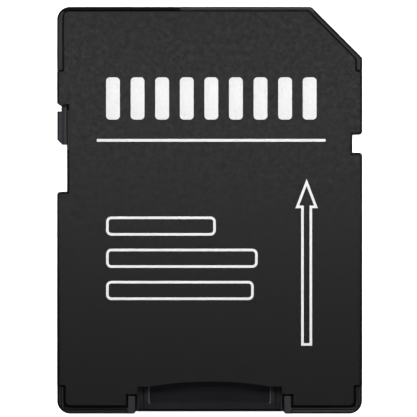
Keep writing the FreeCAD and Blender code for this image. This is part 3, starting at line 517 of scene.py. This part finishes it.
def addFlat(name, left, right, low, high, level):
    # flat rectangle at a level, in edit mode with nothing selected
    bpy.ops.object.select_all(action="DESELECT")
    centre = ((left + right) / 2 * mm, (low + high) / 2 * mm, level * mm)
    bpy.ops.mesh.primitive_plane_add(size=1.0, location=centre)
    piece = bpy.context.object
    piece.name = name
    piece.data.name = name
    piece.scale = ((right - left) * mm, (high - low) * mm, 1.0)
    bpy.ops.object.transform_apply(location=True, rotation=True, scale=True)
    bpy.ops.object.mode_set(mode="EDIT")
    bpy.ops.mesh.select_all(action="DESELECT")
    return piece


def pickAll(kind):
    bpy.ops.mesh.select_mode(type=partModes[kind])
    bpy.ops.mesh.select_all(action="SELECT")


def pick(piece, kind, wanted):
    # selects the vertices, edges or polygons whose centre, in millimetres, passes the test
    bpy.ops.mesh.select_mode(type=partModes[kind])
    bpy.ops.mesh.select_all(action="DESELECT")
    bpy.ops.object.mode_set(mode="OBJECT")
    points = piece.data.vertices
    for part in getattr(piece.data, kind):
        corners = [part.index] if kind == "vertices" else part.vertices
        centre = sum((points[corner].co for corner in corners), Vector()) / len(corners)
        part.select = bool(wanted(centre / mm))
    bpy.ops.object.mode_set(mode="EDIT")


def moved(x=0.0, y=0.0, z=0.0):
    # how far an operator moves what it makes, from millimetres
    return {"value": (x * mm, y * mm, z * mm)}


def roundCorners(radius, segments):
    pickAll("vertices")
    bpy.ops.mesh.bevel(offset=radius * mm, segments=segments, affect="VERTICES")


def hollowOut(stroke):
    # leaves a frame of the given stroke from the one face that is there
    pickAll("polygons")
    bpy.ops.mesh.inset(thickness=stroke * mm, depth=0.0)
    bpy.ops.mesh.delete(type="FACE")


def raiseFlat(piece, height, softness, material):
    # thickens the flat outline upwards, softens its edges and gives it its material
    pickAll("polygons")
    bpy.ops.mesh.normals_make_consistent(inside=False)
    bpy.ops.mesh.extrude_region_move(TRANSFORM_OT_translate=moved(z=height))
    bpy.ops.mesh.select_all(action="SELECT")
    bpy.ops.mesh.normals_make_consistent(inside=False)
    bpy.ops.object.mode_set(mode="OBJECT")
    bevel = piece.modifiers.new("softEdge", "BEVEL")
    bevel.width = softness * mm
    bevel.segments = softEdge["segments"]
    bevel.limit_method = "ANGLE"
    bevel.angle_limit = math.radians(softEdge["fromAngle"])
    bpy.ops.object.modifier_apply(modifier=bevel.name)
    bpy.ops.object.shade_smooth_by_angle(angle=math.radians(softEdge["smoothAngle"]))
    piece.data.materials.append(material)


# Print on the label: a rule, a row of bars, three fields and an arrow

inkFilm = {"proud": 0.012, "sunk": 0.006, "softness": 0.004}
inkBase = labelTop - inkFilm["sunk"]


def liftInk(piece):
    # turns the flat outline into a film of ink that stands a little proud of the label
    raiseFlat(piece, inkFilm["proud"] + inkFilm["sunk"], inkFilm["softness"], whiteInk)
    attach(piece, "housing")


ruleSizes = {
    "left": -8.87, "right": 9.11, "middle": 5.50, "thick": 0.217, "corner": 0.05, "cornerSegments": 3,
}


def makeRule():
    sizes = ruleSizes
    half = sizes["thick"] / 2
    middle = sizes["middle"]
    rule = addFlat("print_rule", sizes["left"], sizes["right"], middle - half, middle + half, inkBase)
    roundCorners(sizes["corner"], sizes["cornerSegments"])
    liftInk(rule)


barSizes = {
    "left": -8.14, "right": 8.40, "low": 7.13, "high": 10.45, "count": 9, "fill": 0.56,
    "corner": 0.3, "cornerSegments": 6,
}


def makeBars():
    # row of upright rounded bars, one for each contact of the card
    sizes = barSizes
    pitch = (sizes["right"] - sizes["left"]) / (sizes["count"] - 1 + sizes["fill"])
    width = pitch * sizes["fill"]
    bars = addFlat("print_bars", sizes["left"], sizes["left"] + width, sizes["low"], sizes["high"], inkBase)
    roundCorners(sizes["corner"], sizes["cornerSegments"])
    for number in range(1, sizes["count"]):
        edge = sizes["left"] + (number - 1) * pitch
        pick(bars, "polygons", lambda centre: edge < centre.x < edge + width)
        bpy.ops.mesh.duplicate_move(TRANSFORM_OT_translate=moved(x=pitch))
    liftInk(bars)


fieldSizes = {
    "left": -8.14, "rights": (0.48, 3.77, 3.46), "middles": (-1.24, -3.77, -6.30),
    "height": 1.5, "stroke": 0.2, "corner": 0.42, "cornerSegments": 6,
}


def makeField(number, right, middle):
    # outlined field to write on
    sizes = fieldSizes
    half = sizes["height"] / 2
    field = addFlat(f"print_field_{number}", sizes["left"], right, middle - half, middle + half, inkBase)
    roundCorners(sizes["corner"], sizes["cornerSegments"])
    hollowOut(sizes["stroke"])
    liftInk(field)


arrowSizes = {
    "left": 6.74, "right": 8.50, "low": -10.64, "high": 2.47,
    "headLength": 2.3, "shaft": 0.86, "stroke": 0.2,
}


def makeArrow():
    # outlined arrow that points to the end that enters the reader
    sizes = arrowSizes
    middle = (sizes["left"] + sizes["right"]) / 2
    base = sizes["high"] - sizes["headLength"]
    arrow = addFlat("print_arrow", sizes["left"], sizes["right"], base, sizes["high"], inkBase)
    for way in (-1, 1):
        bpy.ops.mesh.select_all(action="SELECT")
        cut = ((middle + way * sizes["shaft"] / 2) * mm, 0.0, inkBase * mm)
        bpy.ops.mesh.bisect(plane_co=cut, plane_no=(1.0, 0.0, 0.0))
    pick(arrow, "edges", lambda spot: abs(spot.x - middle) < near and abs(spot.y - base) < near)
    bpy.ops.mesh.extrude_region_move(TRANSFORM_OT_translate=moved(y=sizes["low"] - base))
    pick(arrow, "vertices", lambda spot: abs(spot.y - sizes["high"]) < near)
    bpy.ops.mesh.merge(type="CENTER")
    pickAll("polygons")
    bpy.ops.mesh.dissolve_faces()
    hollowOut(sizes["stroke"])
    liftInk(arrow)


makeRule()
makeBars()
for number, (right, middle) in enumerate(zip(fieldSizes["rights"], fieldSizes["middles"]), start=1):
    makeField(number, right, middle)
makeArrow()
print("stage 4: print on the label")


# Ledge under the inner side of the lock slider, which closes the slit beside it

ledgeSizes = {
    "left": -11.26, "right": -11.19, "rear": 1.47, "front": 8.32, "low": 0.14, "high": 0.58,
    "softness": 0.015,
}


def makeLedge():
    sizes = ledgeSizes
    low = sizes["low"]
    ledge = addFlat("lock_ledge", sizes["left"], sizes["right"], sizes["rear"], sizes["front"], low)
    raiseFlat(ledge, sizes["high"] - low, sizes["softness"], trayPlastic)
    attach(ledge, "housing")


makeLedge()
print("stage 5: ledge beside the lock slider")


# Floor, light and camera

studio = {
    # sizes in millimetres, speckles for each metre
    "floorSize": 3000.0, "floorGap": 0.02, "floorColour": 0.9, "floorShade": 0.2, "floorGlow": 0.7,
    "speckles": 180.0, "speckleDetail": 2.0, "speckleColour": 0.88,
    "floorRoughness": 0.9, "floorSpecular": 0.1, "worldColour": 1.0, "worldStrength": 0.2,
}
lamps = {
    # place and size in millimetres, power in watts
    "keyLight": {"place": (150.0, 330.0, 260.0), "width": 260.0, "depth": 260.0, "power": 0.4},
    "stripLight": {"place": (0.0, 12.5, 62.0), "width": 170.0, "depth": 20.0, "power": 0.104},
    "rearLight": {"place": (30.0, -90.0, 75.0), "width": 120.0, "depth": 30.0, "power": 0.075},
}


def makeFloor():
    # pale and a little bright by itself where the camera sees it, and darker in the card's reflections
    bpy.ops.object.select_all(action="DESELECT")
    middle = (0.0, 0.0, -studio["floorGap"] * mm)
    bpy.ops.mesh.primitive_plane_add(size=studio["floorSize"] * mm, location=middle)
    floor = bpy.context.object
    floor.name = "floor"
    material, tree, shader, position = newMaterial("paleFloor")
    speckle = noiseNode(tree, position, studio["speckles"], studio["speckleDetail"])
    tone = mixColour(tree, speckle, studio["floorColour"], studio["speckleColour"])
    seen = addNode(tree, "LightPath").outputs["Is Camera Ray"]
    feed(tree, shader.inputs["Base Color"], mixColour(tree, seen, studio["floorShade"], tone))
    feed(tree, shader.inputs["Emission Color"], mixColour(tree, seen, 0.0, studio["floorColour"]))
    shader.inputs["Roughness"].default_value = studio["floorRoughness"]
    shader.inputs["Specular IOR Level"].default_value = studio["floorSpecular"]
    shader.inputs["Emission Strength"].default_value = studio["floorGlow"]
    floor.data.materials.append(material)


def makeLamp(name, place, width, depth, power):
    # soft box that faces the middle of the card
    lamp = bpy.data.lights.new(name, "AREA")
    lamp.shape = "RECTANGLE"
    lamp.size = width * mm
    lamp.size_y = depth * mm
    lamp.energy = power
    holder = bpy.data.objects.new(name, lamp)
    holder.visible_camera = False
    bpy.context.scene.collection.objects.link(holder)
    holder.location = Vector(place) * mm
    holder.rotation_euler = (-holder.location).to_track_quat("-Z", "Y").to_euler()


def makeWorld():
    world = bpy.data.worlds.new("studio")
    world.use_nodes = True
    sky = world.node_tree.nodes["Background"]
    sky.inputs["Color"].default_value = asColour(studio["worldColour"])
    sky.inputs["Strength"].default_value = studio["worldStrength"]
    bpy.context.scene.world = world


view = {
    "lens": 400.0, "sensor": 36.0, "imagePixels": 417, "pixelsPerMm": 12.725,
    "target": (-0.092, 0.142),  # what the middle of the picture shows on the label face
    "nearest": 10.0, "farthest": 10000.0,
}


def makeCamera():
    # straight above the label, as far up as the lens and the card's size in the picture say
    lens = bpy.data.cameras.new("camera")
    lens.lens = view["lens"]
    lens.sensor_width = view["sensor"]
    lens.clip_start = view["nearest"] * mm
    lens.clip_end = view["farthest"] * mm
    holder = bpy.data.objects.new("camera", lens)
    bpy.context.scene.collection.objects.link(holder)
    across = view["imagePixels"] / view["pixelsPerMm"]
    holder.location = Vector((*view["target"], labelTop + across * view["lens"] / view["sensor"])) * mm
    bpy.context.scene.camera = holder


makeFloor()
makeWorld()
for name, values in lamps.items():
    makeLamp(name, **values)
makeCamera()
bpy.context.scene.view_settings.view_transform = "Standard"
print("stage 6: floor, light and camera")
